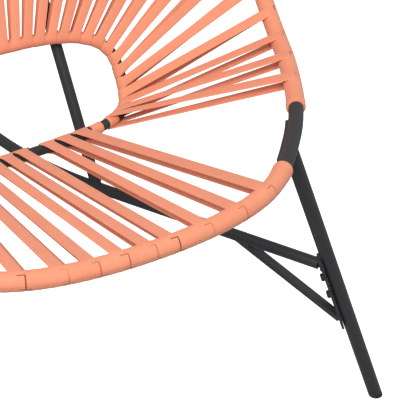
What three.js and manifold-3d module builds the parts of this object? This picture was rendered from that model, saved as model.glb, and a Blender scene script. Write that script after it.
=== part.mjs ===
// A patio chair with a woven strap seat: an egg-shaped tube hoop bent into seat and back, an inner ring,
// flat straps laced between the two, and a three-legged base. Millimetres, +Z up, +X to the sitter's left
// as the viewer in front sees it on the right, -Y to the front, origin on the floor below the middle.
import * as THREE from "three";
import { mergeVertices } from "three/addons/utils/BufferGeometryUtils.js";
import Module from "manifold-3d";

// Clearance between touching pieces, and how far a cutting shape runs past what it cuts
const GAP = 0.3;
const OVERRUN = 20;

// Side profile of the hoop: a seat that falls to the back, a bend, and a straight back
const PROFILE_START = { y: -370, z: 427 };
const SEAT_FALL = THREE.MathUtils.degToRad(2.7);
const BACK_RISE = THREE.MathUtils.degToRad(54.6);
const BEND_MIDDLE = 380.7;
const HOOP_BEND_RADIUS = 170;

// Flat outline of the hoop: radii from a centre on the profile, against the angle from sideways
const HOOP_CENTRE = 371.1;
const HOOP_FRONT_RADIUS = 361.2;
const HOOP_FRONT_CORNER_RADIUS = 369.1;
const HOOP_FRONT_SIDE_RADIUS = 356.7;
const HOOP_LEG_RADIUS = 354.7;
const HOOP_SIDE_RADIUS = 382.7;
const HOOP_REAR_SIDE_RADIUS = 434.5;
const HOOP_REAR_CORNER_RADIUS = 489.2;
const HOOP_TOP_RADIUS = 536.9;
const HOOP_RADIUS_AT = [
  { angle: -90, radius: HOOP_FRONT_RADIUS },
  { angle: -65, radius: HOOP_FRONT_CORNER_RADIUS },
  { angle: -45, radius: HOOP_FRONT_SIDE_RADIUS },
  { angle: -25, radius: HOOP_LEG_RADIUS },
  { angle: 0, radius: HOOP_SIDE_RADIUS },
  { angle: 25, radius: HOOP_REAR_SIDE_RADIUS },
  { angle: 50, radius: HOOP_REAR_CORNER_RADIUS },
  { angle: 90, radius: HOOP_TOP_RADIUS },
];
const HOOP_TUBE_RADIUS = 9;

// Inner ring: a rounded oblong on the same profile with a tighter bend, hung lower than the hoop
const RING_CENTRE = 415.4;
const RING_HALF_WIDTH = 187.8;
const RING_HALF_LENGTH = 73.4;
const RING_SQUARENESS = 3;
const RING_BEND_RADIUS = 43.8;
const RING_DROP = 71.1;
const RING_TUBE_RADIUS = 6.5;
const RING_ROOM_SHARE = 0.02;
const RING_OPEN_GAP_SHARE = 0.09;

// Straps: flat loops round hoop and ring, and turns round the hoop between them
const STRAP_WIDTH = 15;
const STRAP_THICKNESS = 1.6;
const STRAP_WIDTH_AT_RING = 11;
const WRAP_THICKNESS = 1.9;
const LOOP_LIFT = 1.2;
const LOOP_LIFT_AT_RING = 0.9;
const SEAT_LOOP_HOOP_SHARES = [-0.1186, -0.0852, -0.0592, -0.0341, -0.0092, 0.0114, 0.0449, 0.0809, 0.1193];
const SEAT_LOOP_RING_SHARES = [-0.233, -0.17, -0.119, -0.069, -0.0221, 0.025, 0.106, 0.1562, 0.2113];
const BACK_LOOPS = 38;
const BACK_LOOPS_PER_NODE = 2;
const BACK_FIRST_HOOP_SHARE = 0.308;
const BACK_FIRST_RING_SHARE = 0.335;
const BARE_START_SHARE = 0.1645;
const BARE_END_SHARE = 0.265;
const WRAP_END_REACH_SHARE = 0.0095;
const BARE_STEPS = 5;

// Legs, plates and braces
const LEG_TUBE_RADIUS = 9;
const FRONT_FOOT = { x: 394.3, y: -312.4 };
const LEG_TO_HOOP_SHARE = 0.196;
const SADDLE_SPREAD_SHARE = 0.034;
const SADDLE_THICKNESS = 3;
const SADDLE_INNER_ANGLE = THREE.MathUtils.degToRad(78);
const SADDLE_OUTER_ANGLE = THREE.MathUtils.degToRad(22);
const PLATE_THICKNESS = 3;
const PLATE_WIDTH = 20;
const PLATE_HEADING = THREE.MathUtils.degToRad(66);
const PLATE_ABOVE_BAR = 13;
const PLATE_BELOW_BAR = 110;
const BRACE_SIDE = 9;
const BRACE_BAR_REACH = 115;
const BRACE_LEG_DROP = 93;
const UPPER_BOLT_DROP = 19.5;
const LOWER_BOLT_DROP = 51;
const BOLT_DROPS = [UPPER_BOLT_DROP, LOWER_BOLT_DROP];
const BOLT_HEAD_RADIUS = 5.5;
const BOLT_HEAD_HEIGHT = 4;
const BOLT_SHANK_RADIUS = 3;
const BOLT_BITE = 11;

// Base bar: level, straight from each front leg, eased inwards, round the back in a U
const BAR_HEIGHT = 243;
const BAR_TUBE_RADIUS = 7.3;
const BAR_HEADING = THREE.MathUtils.degToRad(30.9);
const BAR_STRAIGHT = 316.4;
const BAR_EASE_RADIUS = 490;
const BAR_EASE_TURN = THREE.MathUtils.degToRad(22);
const BAR_BACK_Y = 318;

// Rear leg
const REAR_LEG_TILT = THREE.MathUtils.degToRad(17);
const REAR_LEG_RISE = 25;
const PLUG_THICKNESS = 2.5;

// Struts from the base bar to the top of the hoop
const STRUT_TUBE_RADIUS = 7.3;
const STRUT_LEAN = THREE.MathUtils.degToRad(31);
const STRUT_TOP_SHARE = 0.921;
const STRUT_END_REACH = 8;

// Plugs that close the legs and stand on the floor, measured on the leg's axis
const FOOT_THICKNESS = 5;

// Facets
const ROUND_SIDES = 12;
const SLEEVE_SIDES = 8;
const BOLT_SIDES = 8;
const LOOP_ARC_STEPS = 4;
const BAR_EASE_STEPS = 6;
const BAR_BACK_STEPS = 6;
const MERGE_DISTANCE = 0.0001;

const steel = new THREE.MeshStandardMaterial({ color: 0x303235, roughness: 0.5, metalness: 0.35 });
const zinc = new THREE.MeshStandardMaterial({ color: 0x26282a, roughness: 0.4, metalness: 0.6 });
const rubber = new THREE.MeshStandardMaterial({ color: 0x151617, roughness: 0.8, metalness: 0 });
const webbing = new THREE.MeshStandardMaterial({ color: 0xf58f6c, roughness: 0.75, metalness: 0 });

const wasm = await Module();
wasm.setup();

const chair = new THREE.Group();
const V = (x, y, z) => new THREE.Vector3(x, y, z);

function add(name, geometry, material) {
  const mesh = new THREE.Mesh(geometry, material.clone());
  mesh.name = name;
  chair.add(mesh);
}

// Solids

function toSolid(geometry) {
  const bare = new THREE.BufferGeometry();
  bare.setAttribute("position", geometry.getAttribute("position").clone());
  if (geometry.index) bare.setIndex(geometry.index.clone());
  const merged = mergeVertices(bare, MERGE_DISTANCE);
  return new wasm.Manifold(
    new wasm.Mesh({
      numProp: 3,
      vertProperties: new Float32Array(merged.attributes.position.array),
      triVerts: new Uint32Array(merged.index.array),
    }),
  );
}

function toGeometry(solid) {
  const mesh = solid.getMesh();
  const geometry = new THREE.BufferGeometry();
  geometry.setAttribute("position", new THREE.BufferAttribute(mesh.vertProperties, 3));
  geometry.setIndex(new THREE.BufferAttribute(mesh.triVerts, 1));
  return geometry;
}

const minus = (geometry, ...tools) =>
  toGeometry(tools.reduce((solid, tool) => solid.subtract(toSolid(tool)), toSolid(geometry)));
const plus = (geometry, ...others) =>
  toGeometry(others.reduce((solid, other) => solid.add(toSolid(other)), toSolid(geometry)));

// Skin over a row of rings of points, each ring with as many points; the row closes on itself or has flat ends
function skin(rings, closed) {
  const count = rings[0].length;
  const positions = rings.flat().flatMap((p) => [p.x, p.y, p.z]);
  const faces = [];
  const last = closed ? rings.length : rings.length - 1;
  for (let i = 0; i < last; i += 1) {
    const here = i * count;
    const next = ((i + 1) % rings.length) * count;
    // the second half of each ring is split the other way, so that opposite walls of a thin band stay parallel
    for (let k = 0; k < count; k += 1) {
      const l = (k + 1) % count;
      if (k < count / 2) faces.push(here + k, here + l, next + l, here + k, next + l, next + k);
      else faces.push(here + k, here + l, next + k, here + l, next + l, next + k);
    }
  }
  if (!closed) {
    const end = (rings.length - 1) * count;
    const flat = THREE.ShapeUtils.triangulateShape(flatten(rings[0]), []);
    flat.forEach(([a, b, c]) => faces.push(a, c, b, end + a, end + b, end + c));
  }
  const geometry = new THREE.BufferGeometry();
  geometry.setAttribute("position", new THREE.Float32BufferAttribute(positions, 3));
  geometry.setIndex(signedVolume(rings.flat(), faces) < 0 ? faces.reverse() : faces);
  return geometry;
}

// A ring's points in two dimensions, in its own plane
function flatten(ring) {
  const origin = ring[0];
  const along = ring[1].clone().sub(origin).normalize();
  const normal = along.clone().cross(ring[2].clone().sub(origin)).normalize();
  const across = normal.clone().cross(along);
  return ring.map((p) => {
    const d = p.clone().sub(origin);
    return new THREE.Vector2(d.dot(along), d.dot(across));
  });
}

function signedVolume(points, faces) {
  let sum = 0;
  for (let i = 0; i < faces.length; i += 3) {
    const [a, b, c] = [points[faces[i]], points[faces[i + 1]], points[faces[i + 2]]];
    sum += a.dot(b.clone().cross(c));
  }
  return sum;
}

// A straight round bar between two points
function rod(from, to, radius, sides = ROUND_SIDES) {
  const geometry = new THREE.CylinderGeometry(radius, radius, from.distanceTo(to), sides);
  const turn = new THREE.Quaternion().setFromUnitVectors(V(0, 1, 0), to.clone().sub(from).normalize());
  const middle = from.clone().lerp(to, 1 / 2);
  return geometry.applyMatrix4(new THREE.Matrix4().compose(middle, turn, V(1, 1, 1)));
}

// A box with its length along one axis and its thickness along another, both unit vectors at right angles
function slab(middle, lengthAxis, length, thickAxis, thickness, width) {
  const widthAxis = lengthAxis.clone().cross(thickAxis);
  const frame = new THREE.Matrix4().makeBasis(lengthAxis, thickAxis, widthAxis).setPosition(middle);
  return new THREE.BoxGeometry(length, thickness, width).applyMatrix4(frame);
}

// A solid of revolution whose axis starts at a point and runs along a direction
function turned(profile, start, direction, sides = ROUND_SIDES) {
  const points = profile.map(([radius, height]) => new THREE.Vector2(radius, height));
  const turn = new THREE.Quaternion().setFromUnitVectors(V(0, 1, 0), direction);
  const place = new THREE.Matrix4().compose(start, turn, V(1, 1, 1));
  return new THREE.LatheGeometry(points, sides).applyMatrix4(place);
}

// Curves

// Point and heading of the side profile at a length from its front
function profileAt(length, bendRadius) {
  const half = (bendRadius * (SEAT_FALL + BACK_RISE)) / 2;
  const start = BEND_MIDDLE - half;
  const flat = Math.min(length, start);
  const y = PROFILE_START.y + flat * Math.cos(SEAT_FALL);
  const z = PROFILE_START.z - flat * Math.sin(SEAT_FALL);
  const turn = Math.min(Math.max(length - start, 0), 2 * half) / bendRadius;
  const heading = turn - SEAT_FALL;
  const up = Math.max(length - BEND_MIDDLE - half, 0);
  return {
    y: y + bendRadius * (Math.sin(heading) + Math.sin(SEAT_FALL)) + up * Math.cos(heading),
    z: z + bendRadius * (Math.cos(SEAT_FALL) - Math.cos(heading)) + up * Math.sin(heading),
    heading,
  };
}

// A closed flat outline (x sideways, y along the profile) laid on the side profile
class BentLoop extends THREE.Curve {
  constructor(outline, bendRadius, drop) {
    super();
    this.outline = outline;
    this.bendRadius = bendRadius;
    this.drop = drop;
    this.arcLengthDivisions = 800;
  }

  getPoint(t, target = new THREE.Vector3()) {
    const flat = this.outline(t);
    const { y, z } = profileAt(flat.y, this.bendRadius);
    return target.set(flat.x, y, z - this.drop);
  }

  // Where a share of the half loop lands, from the front middle (0) round either side to the back middle
  at(share) {
    const u = THREE.MathUtils.euclideanModulo(share / 2, 1);
    const { heading } = profileAt(this.outline(this.getUtoTmapping(u)).y, this.bendRadius);
    const point = this.getPointAt(u);
    const along = this.getTangentAt(u);
    const up = V(0, -Math.sin(heading), Math.cos(heading));
    const out = along.clone().cross(up).normalize();
    return { point, along, out, up: out.clone().cross(along) };
  }
}

function hoopOutline() {
  const side = HOOP_RADIUS_AT.map(({ angle, radius }) => {
    const turn = THREE.MathUtils.degToRad(angle);
    return V(radius * Math.cos(turn), HOOP_CENTRE + radius * Math.sin(turn), 0);
  });
  const otherSide = side
    .slice(1, -1)
    .reverse()
    .map((p) => V(-p.x, p.y, 0));
  const curve = new THREE.CatmullRomCurve3([...side, ...otherSide], true);
  return (t) => curve.getPoint(t);
}

function ringOutline(t) {
  const turn = (t - 1 / 4) * 2 * Math.PI;
  const power = (v) => Math.sign(v) * Math.abs(v) ** (2 / RING_SQUARENESS);
  return V(RING_HALF_WIDTH * power(Math.cos(turn)), RING_CENTRE + RING_HALF_LENGTH * power(Math.sin(turn)), 0);
}

const hoop = new BentLoop(hoopOutline(), HOOP_BEND_RADIUS, 0);
const ring = new BentLoop(ringOutline, RING_BEND_RADIUS, RING_DROP);

// Points of a circle, or of part of it, round a place on a loop, from one angle to another, up being 90 degrees
function circle({ point, out, up }, radius, sides, from = 0, to = 2 * Math.PI, withEnd = false) {
  const count = withEnd ? sides + 1 : sides;
  return Array.from({ length: count }, (_, k) => {
    const angle = from + ((to - from) * k) / sides;
    return point
      .clone()
      .addScaledVector(out, radius * Math.cos(angle))
      .addScaledVector(up, radius * Math.sin(angle));
  });
}

// Straps

// One strap loop: over the top from hoop to ring, round the ring, back underneath and round the hoop
function strapLoop(hoopShare, ringShare) {
  const outer = hoop.at(hoopShare);
  const inner = ringChordAt(ringShare);
  const run = inner.point.clone().sub(outer.point).normalize();
  const half = Math.PI / 2;
  const ends = [
    {
      place: outer,
      away: -1,
      radius: HOOP_TUBE_RADIUS + LOOP_LIFT,
      width: STRAP_WIDTH,
      widest: 2 * STRAP_WIDTH,
      from: -half,
    },
    {
      place: inner,
      away: 1,
      radius: RING_TUBE_RADIUS + LOOP_LIFT_AT_RING,
      width: STRAP_WIDTH,
      widest: STRAP_WIDTH_AT_RING,
      from: half,
    },
  ].map((end) => {
    const { along, point } = end.place;
    const out = run.clone().addScaledVector(along, -run.dot(along)).normalize().multiplyScalar(end.away);
    const upward = end.place.up.clone();
    const up = upward.addScaledVector(along, -upward.dot(along)).addScaledVector(out, -upward.dot(out)).normalize();
    const slant = Math.sqrt(1 - run.dot(along) ** 2);
    const width = Math.min(end.width / slant, end.widest);
    return { ...end, frame: { point, out, up }, width, along: along.clone() };
  });
  if (ends[0].along.dot(ends[1].along) < 0) ends[1].along.negate();

  const section = (insidePoint, outsidePoint, along, width) => [
    insidePoint.clone().addScaledVector(along, -width / 2),
    insidePoint.clone().addScaledVector(along, width / 2),
    outsidePoint.clone().addScaledVector(along, width / 2),
    outsidePoint.clone().addScaledVector(along, -width / 2),
  ];
  const arcs = ends.map(({ frame, radius, width, along, from }) => {
    const insides = circle(frame, radius, LOOP_ARC_STEPS, from, -from, true);
    const outsides = circle(frame, radius + STRAP_THICKNESS, LOOP_ARC_STEPS, from, -from, true);
    return insides.map((p, k) => section(p, outsides[k], along, width));
  });
  return skin(arcs.flat(), true);
}

// Turns of strap round the hoop as a sleeve with a station at each share listed, and the loops that rise from it
function wound(shares, loops) {
  const places = shares.map((share) => hoop.at(share));
  const outside = places.map((place) => circle(place, HOOP_TUBE_RADIUS + GAP + WRAP_THICKNESS, SLEEVE_SIDES));
  const shifted = (place, distance) => ({ ...place, point: place.point.clone().addScaledVector(place.along, distance) });
  const through = [shifted(places[0], -OVERRUN), ...places, shifted(places.at(-1), OVERRUN)];
  const bore = through.map((place) => circle(place, HOOP_TUBE_RADIUS + GAP, SLEEVE_SIDES));
  return minus(plus(skin(outside, false), ...loops), skin(bore, false));
}

const middleOf = (a, b) => (a + b) / 2;
const seamShare = GAP / (hoop.getLength() / 2) / 2;

// Stations of the sleeve that neighbouring loops share
function sleeveShares(loopShares, index, count, first, last) {
  const own = loopShares.slice(index, index + count);
  const start = index === 0 ? first : middleOf(loopShares[index - 1], own[0]) + seamShare;
  const after = loopShares[index + count];
  const end = after === undefined ? last : middleOf(own.at(-1), after) - seamShare;
  const between = own.slice(1).map((share, k) => middleOf(own[k], share));
  const stations = own.flatMap((share, k) => (k < between.length ? [share, between[k]] : [share]));
  return [start, ...stations, end];
}

const backHoopShares = Array.from({ length: BACK_LOOPS }, (_, k) =>
  THREE.MathUtils.lerp(BACK_FIRST_HOOP_SHARE, 2 - BACK_FIRST_HOOP_SHARE, k / (BACK_LOOPS - 1)),
);
const backRingShares = Array.from({ length: BACK_LOOPS }, (_, k) =>
  THREE.MathUtils.lerp(BACK_FIRST_RING_SHARE, 2 - BACK_FIRST_RING_SHARE, k / (BACK_LOOPS - 1)),
);

// The ring turns between its loops, so that each loop sits square on a straight length of it
const ringLoopShares = [...SEAT_LOOP_RING_SHARES, ...backRingShares];
const ringShares = ringLoopShares.flatMap((share, k) => {
  const next = ringLoopShares[k + 1] ?? ringLoopShares[0] + 2;
  if (next - share < RING_OPEN_GAP_SHARE) return [middleOf(share, next)];
  const steps = Math.round((next - share) / RING_ROOM_SHARE) - 2;
  return Array.from({ length: steps + 1 }, (_, j) =>
    THREE.MathUtils.lerp(share + RING_ROOM_SHARE, next - RING_ROOM_SHARE, j / steps),
  );
});
const ringPlaces = ringShares.map((share) => ring.at(share));

function ringChordAt(share) {
  const round = share < ringShares[0] ? share + 2 : share;
  const after = ringShares.findIndex((station) => station > round);
  const next = after === -1 ? 0 : after;
  const before = (next + ringShares.length - 1) % ringShares.length;
  const room = THREE.MathUtils.euclideanModulo(ringShares[next] - ringShares[before], 2);
  const part = (round - ringShares[before]) / room;
  const [from, to] = [ringPlaces[before], ringPlaces[next]];
  const along = to.point.clone().sub(from.point).normalize();
  return { point: from.point.clone().lerp(to.point, part), along, up: from.up.clone().add(to.up) };
}

const hoopStations = new Set();
function addStraps(prefix, hoopShares, ringShares, perNode) {
  const first = hoopShares[0] - WRAP_END_REACH_SHARE;
  const last = hoopShares.at(-1) + WRAP_END_REACH_SHARE;
  for (let k = 0; k < hoopShares.length; k += perNode) {
    const shares = sleeveShares(hoopShares, k, perNode, first, last);
    shares.forEach((share) => hoopStations.add(share));
    const loops = hoopShares.slice(k, k + perNode).map((share, j) => strapLoop(share, ringShares[k + j]));
    const number = String(k / perNode + 1).padStart(2, "0");
    add(prefix + number, wound(shares, loops), webbing);
  }
}
addStraps("seat_strap_", SEAT_LOOP_HOOP_SHARES, SEAT_LOOP_RING_SHARES, 1);
addStraps("back_straps_", backHoopShares, backRingShares, BACK_LOOPS_PER_NODE);

function addWrapEnd(name, from, to) {
  const shares = [from, middleOf(from, to), to];
  shares.forEach((share) => hoopStations.add(share));
  add(name, wound(shares, []), webbing);
}
const reach = WRAP_END_REACH_SHARE + 2 * seamShare;
addWrapEnd("seat_wrap_end_right", SEAT_LOOP_HOOP_SHARES.at(-1) + reach, BARE_START_SHARE);
addWrapEnd("seat_wrap_end_left", -BARE_START_SHARE, SEAT_LOOP_HOOP_SHARES[0] - reach);
addWrapEnd("back_wrap_end_right", BARE_END_SHARE, backHoopShares[0] - reach);
addWrapEnd("back_wrap_end_left", backHoopShares.at(-1) + reach, 2 - BARE_END_SHARE);

// Hoop and ring

for (let k = 1; k < BARE_STEPS; k += 1) {
  const share = THREE.MathUtils.lerp(BARE_START_SHARE, BARE_END_SHARE, k / BARE_STEPS);
  hoopStations.add(share);
  hoopStations.add(-share);
}
const tidyShares = [...hoopStations].map((share) => THREE.MathUtils.euclideanModulo(share, 2));
const hoopShares = [...new Set(tidyShares)].sort((a, b) => a - b);
const hoopRings = hoopShares.map((share) => circle(hoop.at(share), HOOP_TUBE_RADIUS, SLEEVE_SIDES));
const spaced = hoopRings.filter((rings, k) => k === 0 || rings[0].distanceTo(hoopRings[k - 1][0]) > GAP / 3);
add("hoop_tube", skin(spaced, true), steel);

const ringRings = ringPlaces.map((place) => circle(place, RING_TUBE_RADIUS, SLEEVE_SIDES));
add("inner_ring", skin(ringRings, true), steel);

// Base bar: one side's path from the leg to the middle of the back, then mirrored

const heading = (angle) => V(-Math.sin(angle), Math.cos(angle), 0);

function arcPoints(start, fromHeading, turn, radius, steps) {
  const inward = V(-Math.cos(fromHeading), -Math.sin(fromHeading), 0).multiplyScalar(-Math.sign(turn) * -1);
  const centre = start.clone().addScaledVector(inward, radius);
  return Array.from({ length: steps }, (_, k) => {
    const angle = (turn * (k + 1)) / steps;
    return start.clone().sub(centre).applyAxisAngle(V(0, 0, 1), angle).add(centre);
  });
}

function barPoints() {
  const { barStart, barWay } = frontLeg(1);
  const start = barStart.clone().addScaledVector(barWay, -OVERRUN);
  const easeStart = barStart.clone().addScaledVector(barWay, BAR_STRAIGHT);
  const ease = arcPoints(easeStart, BAR_HEADING, -BAR_EASE_TURN, BAR_EASE_RADIUS, BAR_EASE_STEPS);
  const easedHeading = BAR_HEADING - BAR_EASE_TURN;
  // the U at the back: a straight run, then an arc that ends in the middle plane at BAR_BACK_Y
  const from = ease.at(-1);
  const turn = Math.PI / 2 - easedHeading;
  const slope = Math.tan(easedHeading);
  const tight = from.x - slope * (BAR_BACK_Y - from.y);
  const radius = tight / (Math.cos(easedHeading) - slope * (1 - Math.sin(easedHeading)));
  const rise = BAR_BACK_Y - radius * (1 - Math.sin(easedHeading)) - from.y;
  const uStart = from.clone().addScaledVector(heading(easedHeading), rise / Math.cos(easedHeading));
  const round = arcPoints(uStart, easedHeading, turn, radius, BAR_BACK_STEPS);
  return [start, easeStart, ...ease, uStart, ...round];
}

// Front legs

function frontLeg(side) {
  const foot = V(side * FRONT_FOOT.x, FRONT_FOOT.y, 0);
  const seat = hoop.at(side * LEG_TO_HOOP_SHARE);
  const up = seat.point.clone().sub(foot).normalize();
  const level = (height) => foot.clone().addScaledVector(up, height / up.z);
  const [barWay, plateWay] = [BAR_HEADING, PLATE_HEADING].map(heading);
  barWay.x *= side;
  plateWay.x *= side;
  const inward = plateWay.clone().addScaledVector(up, -plateWay.dot(up)).normalize();
  const barPoint = level(BAR_HEIGHT);
  // the bar starts on the middle line of the plate's inner face
  const barStart = barPoint.clone().addScaledVector(inward, LEG_TUBE_RADIUS + GAP + PLATE_THICKNESS);
  barStart.addScaledVector(up, (BAR_HEIGHT - barStart.z) / up.z);
  return { foot, seat, up, level, inward, barWay, barPoint, barStart };
}

function rearLeg() {
  const up = V(0, -Math.sin(REAR_LEG_TILT), Math.cos(REAR_LEG_TILT));
  const inward = V(0, -Math.cos(REAR_LEG_TILT), -Math.sin(REAR_LEG_TILT));
  const offset = LEG_TUBE_RADIUS + GAP + PLATE_THICKNESS + GAP + BAR_TUBE_RADIUS;
  const bar = V(0, BAR_BACK_Y, BAR_HEIGHT);
  const barPoint = bar.clone().addScaledVector(inward, -offset);
  const level = (height) => barPoint.clone().addScaledVector(up, (height - barPoint.z) / up.z);
  return { foot: level(0), up, level, inward, barPoint };
}

function plateOf({ barPoint, up, inward }, extra = 0) {
  const length = PLATE_ABOVE_BAR + PLATE_BELOW_BAR;
  const middle = barPoint
    .clone()
    .addScaledVector(up, (PLATE_ABOVE_BAR - PLATE_BELOW_BAR) / 2)
    .addScaledVector(inward, LEG_TUBE_RADIUS + GAP + PLATE_THICKNESS / 2);
  return slab(middle, up, length + 2 * extra, inward, PLATE_THICKNESS + 2 * extra, PLATE_WIDTH + 2 * extra);
}

// A bolt from the plate's inner face through plate and leg wall, and the hole it needs
function boltAt({ barPoint, up, inward }, drop, slack) {
  const face = LEG_TUBE_RADIUS + GAP + PLATE_THICKNESS + GAP;
  const seat = barPoint.clone().addScaledVector(up, -drop).addScaledVector(inward, face);
  const shank = BOLT_SHANK_RADIUS + slack;
  if (slack) {
    const from = seat.clone().addScaledVector(inward, -(BOLT_BITE + slack));
    return rod(from, seat.clone().addScaledVector(inward, OVERRUN), shank, BOLT_SIDES);
  }
  const dome = BOLT_HEAD_HEIGHT / 3;
  return turned(
    [
      [0, -BOLT_BITE],
      [shank, -BOLT_BITE],
      [shank, 0],
      [BOLT_HEAD_RADIUS, 0],
      [BOLT_HEAD_RADIUS, BOLT_HEAD_HEIGHT - dome],
      [BOLT_HEAD_RADIUS - dome, BOLT_HEAD_HEIGHT],
      [0, BOLT_HEAD_HEIGHT],
    ],
    seat,
    inward,
    BOLT_SIDES,
  );
}

function addFootCap(name, { foot, up }) {
  const plug = turned(
    [
      [0, -OVERRUN],
      [LEG_TUBE_RADIUS, -OVERRUN],
      [LEG_TUBE_RADIUS, FOOT_THICKNESS],
      [0, FOOT_THICKNESS],
    ],
    foot,
    up,
  );
  const below = slab(V(foot.x, foot.y, -OVERRUN), V(1, 0, 0), 4 * OVERRUN, V(0, 0, 1), 2 * OVERRUN, 4 * OVERRUN);
  add(name, minus(plug, below), rubber);
}

// The saddle under the bare part of the hoop, which reaches further up on the inner side
function saddleRings(side, inner, outer) {
  return Array.from({ length: 2 * BARE_STEPS - 1 }, (_, k) => {
    const offset = SADDLE_SPREAD_SHARE * (k / (BARE_STEPS - 1) - 1);
    const place = hoop.at(side * (LEG_TO_HOOP_SHARE + offset + SADDLE_SPREAD_SHARE / 2));
    const down = -Math.PI / 2;
    const from = down - SADDLE_INNER_ANGLE;
    const to = down + SADDLE_OUTER_ANGLE;
    const wall = circle(place, outer, SLEEVE_SIDES, from, to, true);
    return [...wall, ...circle(place, inner, SLEEVE_SIDES, to, from, true)];
  });
}

function addFrontLeg(side, label) {
  const leg = frontLeg(side);
  const inner = HOOP_TUBE_RADIUS + 2 * GAP;
  const outer = inner + SADDLE_THICKNESS;
  add("saddle_" + label, skin(saddleRings(side, inner, outer), false), steel);
  const cutter = skin(
    [-1, -1 / 2, 0, 1 / 2, 1].map((k) =>
      circle(hoop.at(side * (LEG_TO_HOOP_SHARE + k * SADDLE_SPREAD_SHARE)), outer + 2 * GAP, ROUND_SIDES),
    ),
    false,
  );
  const holes = BOLT_DROPS.map((drop) => boltAt(leg, drop, GAP));
  const tube = rod(leg.foot.clone().addScaledVector(leg.up, FOOT_THICKNESS + GAP), leg.seat.point, LEG_TUBE_RADIUS);
  add("front_leg_" + label, minus(tube, cutter, ...holes), steel);
  addFootCap("foot_cap_" + label, leg);
  add("leg_plate_" + label, minus(plateOf(leg), ...holes), steel);
  BOLT_DROPS.forEach((drop, k) => add("plate_bolt_" + label + "_" + (k + 1), boltAt(leg, drop, 0), zinc));
  addBrace(leg, label);
}

// Square brace between the base bar and the foot of the plate
function addBrace(leg, label) {
  const face = LEG_TUBE_RADIUS + GAP + PLATE_THICKNESS;
  const low = leg.barPoint.clone().addScaledVector(leg.up, -BRACE_LEG_DROP).addScaledVector(leg.inward, face);
  const high = leg.barStart.clone().addScaledVector(leg.barWay, BRACE_BAR_REACH);
  const way = high.clone().sub(low).normalize();
  const acrossBoth = way.clone().cross(leg.up).normalize();
  const middle = low.clone().lerp(high, 1 / 2);
  const bar = slab(middle, way, low.distanceTo(high) + BRACE_SIDE, acrossBoth, BRACE_SIDE, BRACE_SIDE);
  const along = leg.barWay.clone().multiplyScalar(BRACE_BAR_REACH + OVERRUN);
  const cope = rod(leg.barStart, leg.barStart.clone().add(along), BAR_TUBE_RADIUS + GAP);
  const kept = new THREE.Vector3().addVectors(leg.barPoint, leg.inward.clone().multiplyScalar(face + GAP));
  const outside = slab(
    kept.addScaledVector(leg.inward, -OVERRUN).addScaledVector(leg.up, -BRACE_LEG_DROP),
    leg.up,
    BRACE_BAR_REACH + BRACE_LEG_DROP,
    leg.inward,
    2 * OVERRUN,
    4 * OVERRUN,
  );
  const above = slab(
    leg.barStart.clone().add(along).setZ(BAR_HEIGHT + BAR_TUBE_RADIUS),
    leg.barWay,
    2 * BRACE_BAR_REACH,
    V(0, 0, 1),
    2 * BAR_TUBE_RADIUS,
    4 * OVERRUN,
  );
  add("brace_" + label, minus(bar, cope, outside, above), steel);
}

function addBaseBar() {
  const half = barPoints();
  const mirrored = half
    .slice(0, -1)
    .reverse()
    .map((p) => V(-p.x, p.y, p.z));
  const centres = [...half, ...mirrored];
  const up = V(0, 0, 1);
  const rings = centres.map((point, k) => {
    const before = centres[Math.max(k - 1, 0)];
    const after = centres[Math.min(k + 1, centres.length - 1)];
    const along = after.clone().sub(before).normalize();
    return circle({ point, out: along.clone().cross(up), up }, BAR_TUBE_RADIUS, ROUND_SIDES);
  });
  const trims = [1, -1].map((side) => {
    const leg = frontLeg(side);
    const face = leg.barPoint
      .clone()
      .addScaledVector(leg.inward, LEG_TUBE_RADIUS + GAP + PLATE_THICKNESS + GAP - OVERRUN);
    return slab(face, leg.up, 4 * OVERRUN, leg.inward, 2 * OVERRUN, 4 * OVERRUN);
  });
  add("base_bar", minus(skin(rings, false), ...trims), steel);
  return rings;
}

// Struts: from the top of the base bar, behind the ring, to the back of the hoop near its top
function addStrut(side, label) {
  const { point, up } = hoop.at(side * STRUT_TOP_SHARE);
  const clear = HOOP_TUBE_RADIUS + LOOP_LIFT + STRAP_THICKNESS + GAP + STRUT_TUBE_RADIUS;
  const top = point.clone().addScaledVector(up, -clear);
  const footY = top.y - Math.tan(STRUT_LEAN) * (top.z - BAR_HEIGHT);
  const bar = barPoints();
  const next = bar.findIndex((p) => p.y > footY);
  const [before, after] = [bar[next - 1], bar[next]];
  const foot = before.clone().lerp(after, (footY - before.y) / (after.y - before.y));
  const alongBar = after.clone().sub(before).setLength(OVERRUN);
  foot.x *= side;
  alongBar.x *= side;
  const way = top.clone().sub(foot).normalize();
  const cope = rod(foot.clone().sub(alongBar), foot.clone().add(alongBar), BAR_TUBE_RADIUS + 2 * GAP);
  const tube = rod(foot, top.clone().addScaledVector(way, STRUT_END_REACH), STRUT_TUBE_RADIUS);
  add("strut_" + label, minus(tube, cope), steel);
}

function addRearLeg() {
  const leg = rearLeg();
  const holes = BOLT_DROPS.map((drop) => boltAt(leg, drop, GAP));
  const top = leg.barPoint.clone().addScaledVector(leg.up, REAR_LEG_RISE);
  const tube = rod(leg.foot.clone().addScaledVector(leg.up, FOOT_THICKNESS + GAP), top, LEG_TUBE_RADIUS);
  add("rear_leg", minus(tube, ...holes), steel);
  addFootCap("foot_cap_rear", leg);
  add("leg_plate_rear", minus(plateOf(leg), ...holes), steel);
  BOLT_DROPS.forEach((drop, k) => add("plate_bolt_rear_" + (k + 1), boltAt(leg, drop, 0), zinc));
  const plug = turned(
    [
      [0, GAP],
      [LEG_TUBE_RADIUS, GAP],
      [LEG_TUBE_RADIUS, PLUG_THICKNESS],
      [LEG_TUBE_RADIUS - PLUG_THICKNESS / 2, PLUG_THICKNESS + GAP],
      [0, PLUG_THICKNESS + GAP],
    ],
    top,
    leg.up,
  );
  add("rear_leg_plug", plug, rubber);
}

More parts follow.
